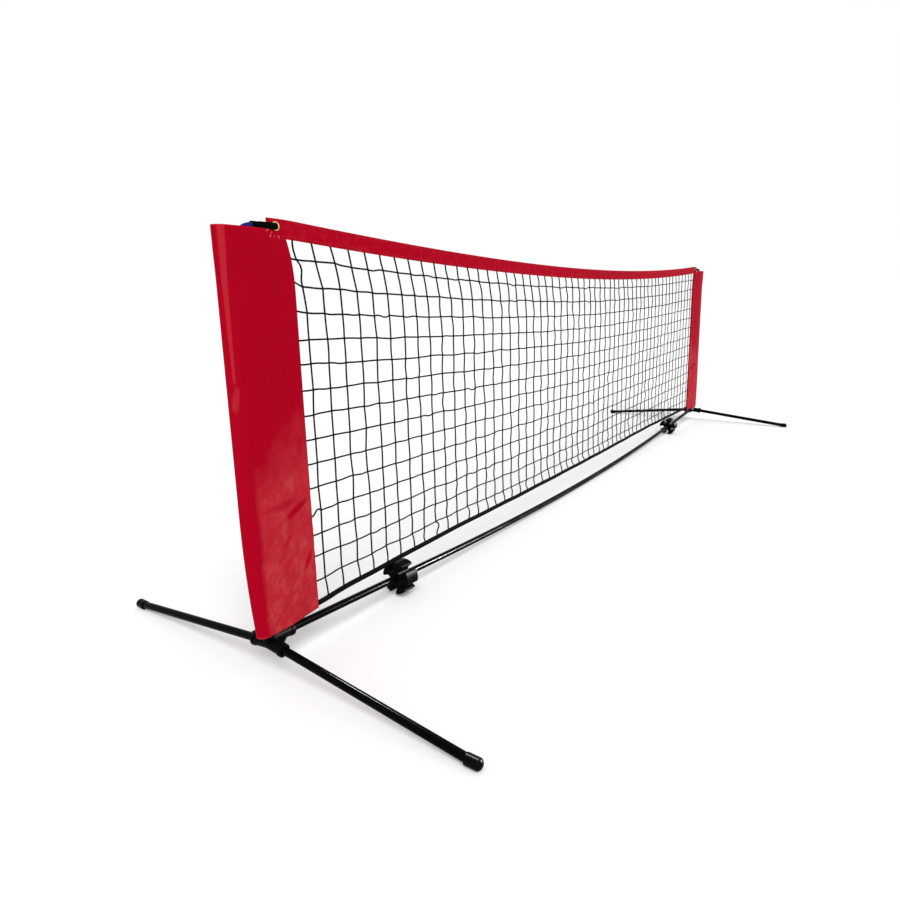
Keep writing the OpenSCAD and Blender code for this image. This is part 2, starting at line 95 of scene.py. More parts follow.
class Thread:  # gathers round cords, knots and stitches into one mesh
    def __init__(self):
        self.verts, self.faces, self.uvs = [], [], []

    def cord(self, path, radius, sides=6):
        start, count = len(self.verts), len(path)
        run = 0.0
        runs = []
        for i, point in enumerate(path):
            ahead = path[min(i + 1, count - 1)] - path[max(i - 1, 0)]
            ahead.normalize()
            across = ahead.cross(Vector((0, 1, 0)) if abs(ahead.y) < 0.8 else Vector((1, 0, 0)))
            across.normalize()
            other = ahead.cross(across)
            r = radius(i / (count - 1)) if callable(radius) else radius
            for k in range(sides):
                a = 2 * math.pi * k / sides
                self.verts.append(point + across * (r * math.cos(a)) + other * (r * math.sin(a)))
            if i:
                run += (point - path[i - 1]).length
            runs.append(run)
        for i in range(count - 1):
            for k in range(sides):
                n = (k + 1) % sides
                a, b = start + i * sides, start + (i + 1) * sides
                self.faces.append((a + k, a + n, b + n, b + k))
                u0, u1 = k / sides, (k + 1) / sides
                self.uvs += [(u0, runs[i]), (u1, runs[i]), (u1, runs[i + 1]), (u0, runs[i + 1])]
        for ring, order in ((start, range(sides - 1, -1, -1)), (start + (count - 1) * sides, range(sides))):
            self.faces.append(tuple(ring + k for k in order))
            self.uvs += [(0, 0)] * sides

    def knot(self, centre, size, turn, rings=5, sides=8):
        start = len(self.verts)
        spin = Matrix.Rotation(turn, 3, "Y")
        wide, deep, high = size
        self.verts.append(centre + spin @ Vector((0, 0, high)))
        for i in range(1, rings):
            a = math.pi * i / rings
            for k in range(sides):
                b = 2 * math.pi * k / sides
                out = Vector((wide * math.sin(a) * math.cos(b), deep * math.sin(a) * math.sin(b),
                              high * math.cos(a)))
                self.verts.append(centre + spin @ out)
        self.verts.append(centre - spin @ Vector((0, 0, high)))
        last = len(self.verts) - 1
        for k in range(sides):
            n = (k + 1) % sides
            u0, u1 = k / sides, (k + 1) / sides
            self.faces.append((start, start + 1 + k, start + 1 + n))
            self.uvs += [(0, 0)] * 3
            for i in range(rings - 2):
                a, b = start + 1 + i * sides, start + 1 + (i + 1) * sides
                self.faces.append((a + k, b + k, b + n, a + n))
                self.uvs += [(u0, i * high), (u0, (i + 1) * high), (u1, (i + 1) * high), (u1, i * high)]
            a = start + 1 + (rings - 2) * sides
            self.faces.append((a + k, last, a + n))
            self.uvs += [(0, 0)] * 3

    def stitches(self, path, look):
        pitch, length, radius = (look[key] * mm for key in ("pitch", "length", "radius"))
        run, goal = 0.0, pitch / 2
        for a, b in zip(path, path[1:]):
            step = (b - a).length
            while step and run + step >= goal:
                middle = a.lerp(b, (goal - run) / step)
                along = (b - a) / step
                half = along * (length / 2)
                self.cord([middle - half, middle - half * 0.55, middle + half * 0.55, middle + half],
                          lambda t: radius * (0.35 if t in (0, 1) else 1), sides=5)  # pulled thin at its holes
                goal += pitch
            run += step

    def piece(self, name, material, body):
        return makePiece(name, self.verts, self.faces, material, body, self.uvs)


def gridFaces(columns, rows, flip=False):
    faces = []
    for j in range(rows - 1):
        for i in range(columns - 1):
            a, b = j * columns + i, (j + 1) * columns + i
            faces.append((a, b, b + 1, a + 1) if flip else (a, a + 1, b + 1, b))
    return faces


def thicken(piece, thickness):  # gives a sheet its cloth, inwards from the face that shows
    solid = piece.modifiers.new("cloth", "SOLIDIFY")
    solid.thickness = thickness
    solid.offset = -1
    solid.use_even_offset = True


# materials

def feed(tree, node, inputs):  # an input is a plain value, an output, or a node, whose first output is meant
    for key, value in inputs.items():
        if isinstance(value, bpy.types.Node):
            value = value.outputs[0]
        if isinstance(value, bpy.types.NodeSocket):
            tree.links.new(value, node.inputs[key])
        else:
            node.inputs[key].default_value = value


def addNode(tree, kind, settings=None, inputs=None):
    node = tree.nodes.new(kind)
    for key, value in (settings or {}).items():
        setattr(node, key, value)
    feed(tree, node, inputs or {})
    return node


def newMaterial(name):
    material = bpy.data.materials.new(name)
    material.use_nodes = True
    tree = material.node_tree
    return material, tree, tree.nodes["Principled BSDF"]


def paint(tree, shader, look, pattern, stops, relief=None):  # lays colours along a grey pattern
    ramp = addNode(tree, "ShaderNodeValToRGB", inputs={"Fac": pattern})
    elements = ramp.color_ramp.elements
    while len(elements) < len(stops):
        elements.new(0.5)
    for element, (place, colour) in zip(elements, stops):
        element.position = place
        element.color = linearColour(colour)
    feed(tree, shader, {"Base Color": ramp, "Roughness": look["roughness"]})
    for key, socket in (("specular", "Specular IOR Level"), ("metallic", "Metallic")):
        if key in look:
            shader.inputs[socket].default_value = look[key]
    if relief:
        feed(tree, shader, {"Normal": relief})


def weave(tree, threads):  # plain weave: two waves multiplied, each with its own thread spacing
    waves = []
    for run, pitchMm in threads:
        pace = 2 * math.pi / (pitchMm * mm)
        turns = addNode(tree, "ShaderNodeMath", {"operation": "MULTIPLY"}, {0: run, 1: pace})
        waves.append(addNode(tree, "ShaderNodeMath", {"operation": "SINE"}, {0: turns}))
    return addNode(tree, "ShaderNodeMath", {"operation": "MULTIPLY"}, {0: waves[0], 1: waves[1]})


def strandFinish(tree, shader, wave, look):  # painted light on the strands' crowns and painted shade between them, following their relief
    crown = addNode(tree, "ShaderNodeMapRange", inputs={"Value": wave, "From Min": -1.0, "From Max": 1.0})
    relief = addNode(tree, "ShaderNodeBump", inputs={
        "Height": wave, "Strength": look["relief"], "Distance": look["reliefMm"] * mm})
    stops = [(look["gap"], look["colour"]), (1.0, look["pale"])]
    paint(tree, shader, look, crown, stops, relief)


powderCoatLook = {
    "colour": "#030404", "worn": "#0a0c0b", "roughness": 0.14, "specular": 0.02,
    "patchMm": 71.43, "peelMm": 0.9, "peelDepthMm": 0.004,
}


def powderCoatedSteel():  # polyester powder baked on steel tube: near black, soft gloss, slight orange peel
    look = powderCoatLook
    material, tree, shader = newMaterial("powderCoatedSteel")
    place = addNode(tree, "ShaderNodeTexCoord").outputs["Object"]
    patches = addNode(tree, "ShaderNodeTexNoise", inputs={
        "Vector": place, "Scale": 1 / (look["patchMm"] * mm), "Detail": 5.0, "Roughness": 0.6})
    gloss = addNode(tree, "ShaderNodeMapRange", inputs={
        "Value": patches, "From Min": 0.3, "From Max": 0.75,
        "To Min": look["roughness"] - 0.04, "To Max": look["roughness"] + 0.08})
    peel = addNode(tree, "ShaderNodeTexNoise", inputs={
        "Vector": place, "Scale": 1 / (look["peelMm"] * mm), "Detail": 2.0})
    relief = addNode(tree, "ShaderNodeBump", inputs={
        "Height": peel, "Strength": 0.12, "Distance": look["peelDepthMm"] * mm})
    paint(tree, shader, look, patches, [(0.45, look["colour"]), (0.8, look["worn"])], relief)
    feed(tree, shader, {"Roughness": gloss})
    return material


mouldingLook = {
    "colour": "#030404", "pale": "#0b0d0d", "roughness": 0.4, "specular": 0.02,
    "flowMm": 33.33, "grainMm": 0.7, "grainDepthMm": 0.05, "edgeMm": 0.6,
}


def mouldedNylon():  # black nylon shot into a spark-eroded mould: fine even texture, edges softly rounded
    look = mouldingLook
    material, tree, shader = newMaterial("mouldedNylon")
    place = addNode(tree, "ShaderNodeTexCoord").outputs["Object"]
    flow = addNode(tree, "ShaderNodeTexNoise", inputs={
        "Vector": place, "Scale": 1 / (look["flowMm"] * mm), "Detail": 4.0, "Distortion": 0.6})
    grain = addNode(tree, "ShaderNodeTexNoise", inputs={
        "Vector": place, "Scale": 1 / (look["grainMm"] * mm), "Detail": 3.0})
    edge = addNode(tree, "ShaderNodeBevel", {"samples": 4}, {"Radius": look["edgeMm"] * mm})
    relief = addNode(tree, "ShaderNodeBump", inputs={
        "Height": grain, "Normal": edge,
        "Strength": 0.6, "Distance": look["grainDepthMm"] * mm})
    paint(tree, shader, look, flow, [(0.4, look["colour"]), (0.75, look["pale"])], relief)
    return material


rubberLook = {
    "colour": "#050506", "dusty": "#1b1a19", "roughness": 0.3, "specular": 0.035,
    "dustHighMm": 6, "dustSpotMm": 6.25, "grainMm": 1.2, "grainDepthMm": 0.04,
}


def mouldedRubber():  # vulcanised rubber cap: near black, picks up pale dust where it meets the court
    look = rubberLook
    material, tree, shader = newMaterial("mouldedRubber")
    place = addNode(tree, "ShaderNodeTexCoord").outputs["Object"]
    height = addNode(tree, "ShaderNodeSeparateXYZ", inputs={"Vector": place}).outputs["Z"]
    low = addNode(tree, "ShaderNodeMapRange", inputs={
        "Value": height, "From Max": look["dustHighMm"] * mm, "To Min": 0.55, "To Max": 0.0})
    spots = addNode(tree, "ShaderNodeTexNoise", inputs={
        "Vector": place, "Scale": 1 / (look["dustSpotMm"] * mm), "Detail": 5.0})
    dust = addNode(tree, "ShaderNodeMath", {"operation": "MULTIPLY"}, {0: low, 1: spots})
    grain = addNode(tree, "ShaderNodeTexNoise", inputs={
        "Vector": place, "Scale": 1 / (look["grainMm"] * mm), "Detail": 2.0})
    relief = addNode(tree, "ShaderNodeBump", inputs={
        "Height": grain, "Strength": 0.4, "Distance": look["grainDepthMm"] * mm})
    paint(tree, shader, look, dust, [(0.0, look["colour"]), (0.5, look["dusty"])], relief)
    return material


clothLook = {
    "colour": "#ad0420", "paintedSheen": "#be2b36", "stroke": "#d97a66", "roughness": 0.45, "specular": 0.01,
    "threadMm": 1.6, "weaveDepthMm": 0.035, "crushMm": 22.22, "crushDepthMm": 1.2, "waver": 8,
    "sheenTop": 455, "sheenLow": 335,  # the painted sheen haze grows between these heights
    "sheenLean": 0.5, "leanFrom": 50, "wander": 80,  # higher by the seam, along a wandering edge
    "strip": (24, 40), "blotchMm": 62.5, "streakMm": 25,  # and starts between these widths from the fold
    "highlightInset": 8, "highlightTop": 855, "highlightLow": 575, "highlightTopHalf": 7.2, "highlightLowHalf": 2.8,  # painted highlight line along the fold
    "gatherX": 1446, "gatherZ": 860, "gatherFrom": 18, "gatherTo": 38, "strokeMm": 5.263, "fan": 15.0,
}
# across, height, half length, half width (mm), turn (degrees) and strength of single marks: painted shade in the
# creases, then painted sheen on the cloth
paintedCreaseShade = [(1446, 312, 42, 10, 21, 1.0), (1424, 197, 30, 9, 58, 0.9),
           (1487, 329, 55, 10, 2, 0.6), (1475, 255, 22, 6, 40, 0.5)]
paintedSheenMarks = [(1432, 222, 30, 5, 82, 1.0), (1446, 160, 24, 4, 80, 0.8), (1424, 125, 20, 5, 76, 0.8),
        (1565, 548, 32, 9, 84, 0.6), (1412, 430, 30, 6, 70, 0.5)]


def clothMarks(tree, flat, spots):  # soft ellipses at the given places
    total = 0.0
    for across, height, half, wide, turn, strength in spots:
        local = addNode(tree, "ShaderNodeMapping", {"vector_type": "TEXTURE"}, {
            "Vector": flat, "Location": (across * mm, 0, height * mm), "Rotation": (0, math.radians(turn), 0),
            "Scale": (half * mm, 10, wide * mm)})
        fade = addNode(tree, "ShaderNodeTexGradient", {"gradient_type": "SPHERICAL"}, {"Vector": local})
        spot = addNode(tree, "ShaderNodeMapRange", {"interpolation_type": "SMOOTHSTEP"}, {
            "Value": fade.outputs["Fac"], "From Max": 0.6, "To Max": strength})
        total = addNode(tree, "ShaderNodeMath", {"operation": "MAXIMUM"}, {0: spot, 1: total})
    return total


# a pale haze low on the sleeve: painted sheen where the crumpled cloth catches the light
def paintedSheenHaze(tree, place, height, fromFold, slant):
    look = clothLook
    blotches = addNode(tree, "ShaderNodeTexNoise", inputs={
        "Vector": place, "Scale": 1 / (look["blotchMm"] * mm), "Detail": 4.0, "Distortion": 0.6})
    wander = addNode(tree, "ShaderNodeMapRange", inputs={
        "Value": blotches, "To Min": -look["wander"] * mm, "To Max": look["wander"] * mm})
    wandering = addNode(tree, "ShaderNodeMath", {"operation": "ADD"}, {0: height, 1: wander})
    lean = addNode(tree, "ShaderNodeMath", {"operation": "SUBTRACT"}, {0: fromFold, 1: look["leanFrom"] * mm})
    leaning = addNode(tree, "ShaderNodeMath", {"operation": "MULTIPLY_ADD"}, {
        0: lean, 1: -look["sheenLean"], 2: wandering})
    below = addNode(tree, "ShaderNodeMapRange", {"interpolation_type": "SMOOTHSTEP"}, {
        "Value": leaning, "From Min": look["sheenLow"] * mm, "From Max": look["sheenTop"] * mm,
        "To Min": 1.0, "To Max": 0.0})
    ragged = addNode(tree, "ShaderNodeMath", {"operation": "MULTIPLY_ADD"}, {0: wander, 1: 0.1, 2: fromFold})
    inside = addNode(tree, "ShaderNodeMapRange", {"interpolation_type": "SMOOTHSTEP"}, {
        "Value": ragged, "From Min": look["strip"][0] * mm, "From Max": look["strip"][1] * mm})
    streaks = addNode(tree, "ShaderNodeTexNoise", inputs={
        "Vector": slant, "Scale": 1 / (look["streakMm"] * mm), "Detail": 8.0, "Roughness": 0.7})
    broken = addNode(tree, "ShaderNodeMapRange", {"interpolation_type": "SMOOTHSTEP"}, {
        "Value": streaks, "From Min": 0.32, "From Max": 0.62, "To Min": 0.66, "To Max": 1.1})
    area = addNode(tree, "ShaderNodeMath", {"operation": "MULTIPLY"}, {0: below, 1: inside})
    return addNode(tree, "ShaderNodeMath", {"operation": "MULTIPLY"}, {0: area, 1: broken})


def paintedFoldHighlight(tree, height, fromFold):  # painted highlight where the round pocket by the fold catches the light: narrows on its way down and stops above the painted sheen haze
    look = clothLook
    aside = addNode(tree, "ShaderNodeMath", {"operation": "SUBTRACT"}, {0: fromFold, 1: look["highlightInset"] * mm})
    offset = addNode(tree, "ShaderNodeMath", {"operation": "ABSOLUTE"}, {0: aside})
    half = addNode(tree, "ShaderNodeMapRange", inputs={
        "Value": height, "From Min": look["highlightLow"] * mm, "From Max": look["highlightTop"] * mm,
        "To Min": look["highlightLowHalf"] * mm, "To Max": look["highlightTopHalf"] * mm})
    share = addNode(tree, "ShaderNodeMath", {"operation": "DIVIDE"}, {0: offset, 1: half})
    line = addNode(tree, "ShaderNodeMapRange", {"interpolation_type": "SMOOTHSTEP"}, {
        "Value": share, "From Min": 0.55, "From Max": 1.0, "To Min": 0.74, "To Max": 0.0})
    above = addNode(tree, "ShaderNodeMapRange", {"interpolation_type": "SMOOTHSTEP"}, {
        "Value": height, "From Min": (look["highlightLow"] - 4) * mm, "From Max": (look["highlightLow"] + 10) * mm})
    return addNode(tree, "ShaderNodeMath", {"operation": "MULTIPLY"}, {0: line, 1: above})


def clothGather(tree, place, across, height):  # short strokes fan out where the hook gathers the cloth
    look = clothLook
    aside = addNode(tree, "ShaderNodeMath", {"operation": "SUBTRACT"}, {0: across, 1: look["gatherX"] * mm})
    below = addNode(tree, "ShaderNodeMath", {"operation": "SUBTRACT"}, {0: look["gatherZ"] * mm, 1: height})
    arm = addNode(tree, "ShaderNodeCombineXYZ", inputs={"X": aside, "Z": below})
    reach = addNode(tree, "ShaderNodeVectorMath", {"operation": "LENGTH"}, {0: arm}).outputs["Value"]
    turn = addNode(tree, "ShaderNodeMath", {"operation": "ARCTAN2"}, {0: aside, 1: below})
    turns = addNode(tree, "ShaderNodeMath", {"operation": "MULTIPLY"}, {0: turn, 1: look["fan"]})
    fan = addNode(tree, "ShaderNodeMath", {"operation": "SINE"}, {0: turns})
    flecks = addNode(tree, "ShaderNodeTexNoise", inputs={
        "Vector": place, "Scale": 1 / (look["strokeMm"] * mm), "Detail": 2.0})
    total = 1.0
    near, far = look["gatherFrom"] * mm, look["gatherTo"] * mm
    for value, low, high, start, stop in (
            (fan, 0.6, 0.9, 0.0, 1.0), (flecks, 0.44, 0.54, 0.0, 1.0),
            (reach, near, near + 4 * mm, 0.0, 1.0), (reach, far - 12 * mm, far, 1.0, 0.0)):
        part = addNode(tree, "ShaderNodeMapRange", {"interpolation_type": "SMOOTHSTEP"}, {
            "Value": value, "From Min": low, "From Max": high, "To Min": start, "To Max": stop})
        total = addNode(tree, "ShaderNodeMath", {"operation": "MULTIPLY"}, {0: part, 1: total})
    return total


def coatedCloth():  # PVC-coated polyester: saturated red skin, weave printing through, with painted sheen low down, painted shade in its creases and painted highlights along the fold and the lower edge
    look = clothLook
    material, tree, shader = newMaterial("coatedCloth")
    place = addNode(tree, "ShaderNodeTexCoord").outputs["Object"]
    parts = addNode(tree, "ShaderNodeSeparateXYZ", inputs={"Vector": place})
    height = parts.outputs["Z"]
    across = addNode(tree, "ShaderNodeMath", {"operation": "ABSOLUTE"}, {0: parts.outputs["X"]})
    fromFold = addNode(tree, "ShaderNodeMath", {"operation": "SUBTRACT"}, {0: foldX * mm, 1: across})
    slant = addNode(tree, "ShaderNodeMapping", inputs={
        "Vector": place, "Rotation": (0, math.radians(38), 0), "Scale": (1, 1, 0.6)})
    # single marks of painted crease shade and painted sheen, with wavering edges
    cloud = addNode(tree, "ShaderNodeTexNoise", inputs={
        "Vector": place, "Scale": 1 / (look["crushMm"] * mm), "Detail": 3.0})
    waver = addNode(tree, "ShaderNodeMapRange", inputs={
        "Value": cloud, "To Min": -look["waver"] * mm, "To Max": look["waver"] * mm})
    flatX = addNode(tree, "ShaderNodeMath", {"operation": "ADD"}, {0: across, 1: waver})
    flatZ = addNode(tree, "ShaderNodeMath", {"operation": "SUBTRACT"}, {0: height, 1: waver})
    flat = addNode(tree, "ShaderNodeCombineXYZ", inputs={"X": flatX, "Z": flatZ})
    haze = paintedSheenHaze(tree, place, height, fromFold, slant)
    # painted shade in the creases takes the painted sheen away there
    amount = addNode(tree, "ShaderNodeMath", {"operation": "SUBTRACT"}, {
        0: haze, 1: clothMarks(tree, flat, paintedCreaseShade)})
    # a painted highlight along the lower edge of the sleeve
    hemEdgeHighlight = addNode(tree, "ShaderNodeMapRange", {"interpolation_type": "SMOOTHSTEP"}, {
        "Value": height, "From Min": (sleeveLow + 2) * mm, "From Max": (sleeveLow + 5) * mm,
        "To Min": 0.9, "To Max": 0.0})
    # painted sheen spots, the painted fold highlight and the painted highlight along the lower edge each lighten
    # the cloth
    for pale in (clothMarks(tree, flat, paintedSheenMarks), paintedFoldHighlight(tree, height, fromFold), hemEdgeHighlight):
        amount = addNode(tree, "ShaderNodeMath", {"operation": "MAXIMUM"}, {0: amount, 1: pale})
    halved = addNode(tree, "ShaderNodeMath", {"operation": "MULTIPLY"}, {0: amount, 1: 0.5})
    gather = clothGather(tree, place, across, height)
    tint = addNode(tree, "ShaderNodeMath", {"operation": "MAXIMUM"}, {0: halved, 1: gather})
    # plain weave under the coating, drawn at twice the real 0.8 mm thread so that it shows
    threads = weave(tree, [(parts.outputs["X"], look["threadMm"]), (parts.outputs["Z"], look["threadMm"])])
    fine = addNode(tree, "ShaderNodeBump", inputs={
        "Height": threads, "Strength": 0.5, "Distance": look["weaveDepthMm"] * mm})
    crush = addNode(tree, "ShaderNodeTexNoise", inputs={
        "Vector": slant, "Scale": 1 / (look["crushMm"] * mm), "Detail": 5.0, "Roughness": 0.6})
    soft = addNode(tree, "ShaderNodeBump", inputs={
        "Height": crush, "Normal": fine, "Strength": 0.35, "Distance": look["crushDepthMm"] * mm})
    # the base red, the colour of the painted sheen and highlights, and the pale strokes where the cloth gathers
    stops = [(0.0, look["colour"]), (0.5, look["paintedSheen"]), (1.0, look["stroke"])]
    paint(tree, shader, look, tint, stops, soft)
    return material


tapeLook = {
    "colour": "#ae0421", "pale": "#b7162a", "roughness": 0.5, "specular": 0.01,
    "mottleMm": 16.667, "threadMm": 1.6, "weaveDepthMm": 0.035,
}


def coatedTape():  # the same coated cloth, folded and pulled tight as a tape: flatter, with a little mottling
    look = tapeLook
    material, tree, shader = newMaterial("coatedTape")
    place = addNode(tree, "ShaderNodeTexCoord").outputs["Object"]
    parts = addNode(tree, "ShaderNodeSeparateXYZ", inputs={"Vector": place})
    mottle = addNode(tree, "ShaderNodeTexNoise", inputs={
        "Vector": place, "Scale": 1 / (look["mottleMm"] * mm), "Detail": 5.0, "Roughness": 0.65})
    threads = weave(tree, [(parts.outputs["X"], look["threadMm"]), (parts.outputs["Z"], look["threadMm"])])
    relief = addNode(tree, "ShaderNodeBump", inputs={
        "Height": threads, "Strength": 0.5, "Distance": look["weaveDepthMm"] * mm})
    paint(tree, shader, look, mottle, [(0.45, look["colour"]), (0.72, look["pale"])], relief)
    return material


cordLook = {
    "colour": "#060606", "pale": "#161413", "gap": 0.0, "relief": 0.7, "reliefMm": 0.2,
    "roughness": 0.7, "specular": 0.06, "strands": 3, "layMm": 6.0,
}


def twistedCord():  # twisted polyethylene twine: dull black, strands winding round it every few millimetres
    look = cordLook
    material, tree, shader = newMaterial("twistedCord")
    run = addNode(tree, "ShaderNodeUVMap", {"uv_map": "run"})
    parts = addNode(tree, "ShaderNodeSeparateXYZ", inputs={"Vector": run})
    around = addNode(tree, "ShaderNodeMath", {"operation": "MULTIPLY"}, {
        0: parts.outputs["X"], 1: 2 * math.pi * look["strands"]})
    phase = addNode(tree, "ShaderNodeMath", {"operation": "MULTIPLY_ADD"}, {
        0: parts.outputs["Y"], 1: 2 * math.pi * look["strands"] / (look["layMm"] * mm), 2: around})
    strand = addNode(tree, "ShaderNodeMath", {"operation": "SINE"}, {0: phase})
    strandFinish(tree, shader, strand, look)
    return material


webbingLook = {"gap": 0.1, "relief": 0.8, "reliefMm": 0.2, "roughness": 0.65, "specular": 0.05}
hemLook = {**webbingLook, "colour": "#050505", "pale": "#121111", "ribMm": 1.6}
strapLook = {**webbingLook, "colour": "#14205c", "pale": "#27388a", "ribMm": 1.4}


def wovenWebbing(name, look):  # woven polypropylene strap: low ribs across it, slightly silky
    material, tree, shader = newMaterial(name)
    run = addNode(tree, "ShaderNodeUVMap", {"uv_map": "run"})
    parts = addNode(tree, "ShaderNodeSeparateXYZ", inputs={"Vector": run})
    ribs = weave(tree, [(parts.outputs["Y"], look["ribMm"]), (parts.outputs["X"], look["ribMm"] * 0.8)])
    strandFinish(tree, shader, ribs, look)
    return material


brassLook = {"colour": "#e3d283", "tarnished": "#b39a4a", "tarnishMm": 5.556, "roughness": 0.3, "metallic": 1.0}


def pressedBrass():  # eyelet pressed from brass strip: warm yellow metal with tarnish in patches
    look = brassLook
    material, tree, shader = newMaterial("pressedBrass")
    place = addNode(tree, "ShaderNodeTexCoord").outputs["Object"]
    tarnish = addNode(tree, "ShaderNodeTexNoise", inputs={
        "Vector": place, "Scale": 1 / (look["tarnishMm"] * mm), "Detail": 4.0})
    paint(tree, shader, look, tarnish, [(0.35, look["colour"]), (0.75, look["tarnished"])])
    return material


joinerLook = {"colour": "#9a9da0", "pale": "#b8bbbd", "spangleMm": 2.5, "roughness": 0.35, "metallic": 1.0}


def drawnSteel():  # zinc-plated tube, only seen when the rail is apart
    look = joinerLook
    material, tree, shader = newMaterial("drawnSteel")
    place = addNode(tree, "ShaderNodeTexCoord").outputs["Object"]
    spangle = addNode(tree, "ShaderNodeTexNoise", inputs={
        "Vector": place, "Scale": 1 / (look["spangleMm"] * mm), "Detail": 2.0})
    paint(tree, shader, look, spangle, [(0.3, look["colour"]), (0.7, look["pale"])])
    return material


sewingLook = {"colour": "#8f0218", "pale": "#b3202f", "plyMm": 1.1111, "roughness": 0.6}


def sewingThread():  # bonded polyester thread, close to the cloth in colour
    look = sewingLook
    material, tree, shader = newMaterial("sewingThread")
    place = addNode(tree, "ShaderNodeTexCoord").outputs["Object"]
    ply = addNode(tree, "ShaderNodeTexNoise", inputs={
        "Vector": place, "Scale": 1 / (look["plyMm"] * mm), "Detail": 1.0})
    paint(tree, shader, look, ply, [(0.3, look["colour"]), (0.7, look["pale"])])
    return material


steelMaterial = powderCoatedSteel()
nylonMaterial = mouldedNylon()
rubberMaterial = mouldedRubber()
clothMaterial = coatedCloth()
tapeMaterial = coatedTape()
cordMaterial = twistedCord()
hemMaterial = wovenWebbing("wovenHemWebbing", hemLook)
strapMaterial = wovenWebbing("wovenStrapWebbing", strapLook)
brassMaterial = pressedBrass()
joinerMaterial = drawnSteel()
threadMaterial = sewingThread()

solidLooks = {  # how each frame piece's name begins, and what it is made of
    "rail_tube": steelMaterial, "foot_front": steelMaterial, "foot_rear": steelMaterial,
    "post_left": steelMaterial, "post_right": steelMaterial, "post_cap": nylonMaterial,
    "foot_cap": rubberMaterial, "hub": nylonMaterial, "storage_clip": nylonMaterial, "hook": nylonMaterial,
    "eyelet": brassMaterial, "rail_joiners": joinerMaterial,
}
for nodeName, node in frame["nodes"].items():
    for start, material in solidLooks.items():
        if nodeName.startswith(start):
            for place in node.material_slots:
                place.material = material
print("materials made")


# head band

band = {
    "end": 1460, "top": 871, "sag": 54.5, "height": 35,  # as the solid band
    "tip": 3, "tipRun": 70,  # the eyelet pulls each end down by this much, over this length
    "half": 2.1, "endHalf": 1.26, "thickTo": 1395, "thinFrom": 1413,  # thinner at the ends, with no net inside
    "foldRound": 2.2, "lip": 0.25, "flute": 0.25, "fluteRun": 40, "cloth": 0.7, "steps": 290,
    "sway": 0.9, "swayRun": 170, "stitchRows": (30.5, 4.5), "stitchEnd": 4,
    "stitch": {"pitch": 5.0, "length": 3.4, "radius": 0.32},
}


def bandTop(x):
    pulled = max(0, 1 - (band["end"] - abs(x)) / band["tipRun"])
    return band["top"] - band["sag"] * (1 - (x / band["end"]) ** 2) - band["tip"] * pulled ** 2


def bandHalf(x):
    return band["half"] + (band["endHalf"] - band["half"]) * smooth(band["thickTo"], band["thinFrom"], abs(x))


def bandSway(x, drop):  # the tape leans a little to and fro
    lean = band["sway"] * math.sin(x / band["swayRun"] + 0.6)
    return lean * smooth(band["end"], band["end"] - 150, abs(x)) * smooth(0, 30, drop)


def bandSection(x):  # from the front lower edge up, over the fold and down the back
    half, curl = bandHalf(x), band["foldRound"]
    flute = band["flute"] * noise.noise(Vector((x / band["fluteRun"], 1.3, 0)))
    drops = [band["height"], 34.2, 29, 24, 18, 12, 7, 4, curl]
    outs = [half + (band["lip"] if d == band["height"] else 0) + flute * smooth(5, 20, d) for d in drops]
    turns = [math.radians(t) for t in range(18, 180, 18)]
    return ([(-out, d) for out, d in zip(outs, drops)]
            + [(-half * math.cos(a), curl - curl * math.sin(a)) for a in turns]
            + [(out, d) for out, d in zip(outs[::-1], drops[::-1])])


def makeHeadBand():
    places = [-band["end"] + 2 * band["end"] * i / band["steps"] for i in range(band["steps"] + 1)]
    verts = []
    for x in places:
        section = bandSection(x)
        for y, d in section:
            verts.append(Vector((x, y + bandSway(x, d), bandTop(x) - d)) * mm)
    faces = gridFaces(len(section), len(places), flip=True)
    piece = makePiece("headBandTape", verts, faces, tapeMaterial, "net_assembly")
    thicken(piece, band["cloth"] * mm)
    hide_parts("head_band")
    thread = Thread()
    for drop in band["stitchRows"]:
        for side in (-1, 1):
            path = []
            for x in places:
                if abs(x) < band["end"] - band["stitchEnd"]:
                    y = side * (bandHalf(x) + 0.12) + bandSway(x, drop)
                    path.append(Vector((x, y, bandTop(x) - drop)) * mm)
            thread.stitches(path, band["stitch"])
    stitching = thread.piece("headBandStitching", threadMaterial, "net_assembly")


# net

net = {
    "firstColumn": -1378, "pitch": 49.75, "spread": 0.088, "spreadFrom": 28, "columns": 55, "rows": 14,
    "cord": 3.8, "knot": (2.6, 2.0, 2.7), "substeps": 5, "seed": 11,
    "topMiddle": 748.9, "dropMiddle": 48.3, "topEnd": 798, "dropEnd": 50.8, "sleeveEdge": 1408.5,
    "lean": {0: -28, 1: -17, 2: -5.5, 3: -1.5},  # how far the head band's pull has dragged the top rows
    "seamRise": {1: 3.5, 2: 12, 3: 6, 4: 1, 5: 1.5},  # rise of a row's left end above its first knot, else 2
    "slackRow": 11,  # the row whose left end hangs in a curl
    "stray": (0.9, 0.8, 1.0), "topStray": 0.8, "hemStray": 1.6,  # how far knots stray from the even grid
    "middleLift": 7, "leftLift": (5, -1000, 350),  # the lowest rows ride up, more round one place on the left
    "bow": 1.9, "bowRight": 0.66, "bowOut": 1.0, "bowWave": 0.35,  # upright cords: bow, share to the right
    "hemBow": (0.8, 1.2, 2.8), "aboveHemBow": 1.6,  # and their slack last rows
    "droop": (-0.25, 0.55), "droopOut": 0.8, "droopWave": 0.9,  # level cords
}
hem = {
    "height": 12, "half": 1.0, "middle": 92.5, "end": 1405, "steps": 280, "edge": 0.6, "rib": 2,
    "fat": 1.35, "endFat": 1.2, "fatTo": 1385, "sway": 0.8, "swayRun": 90,
    "waves": ((-920, 300, 4.5), (720, 420, 5.0), (-1400, 60, -4.5), (1400, 120, -3.0)),  # place, width and rise
}


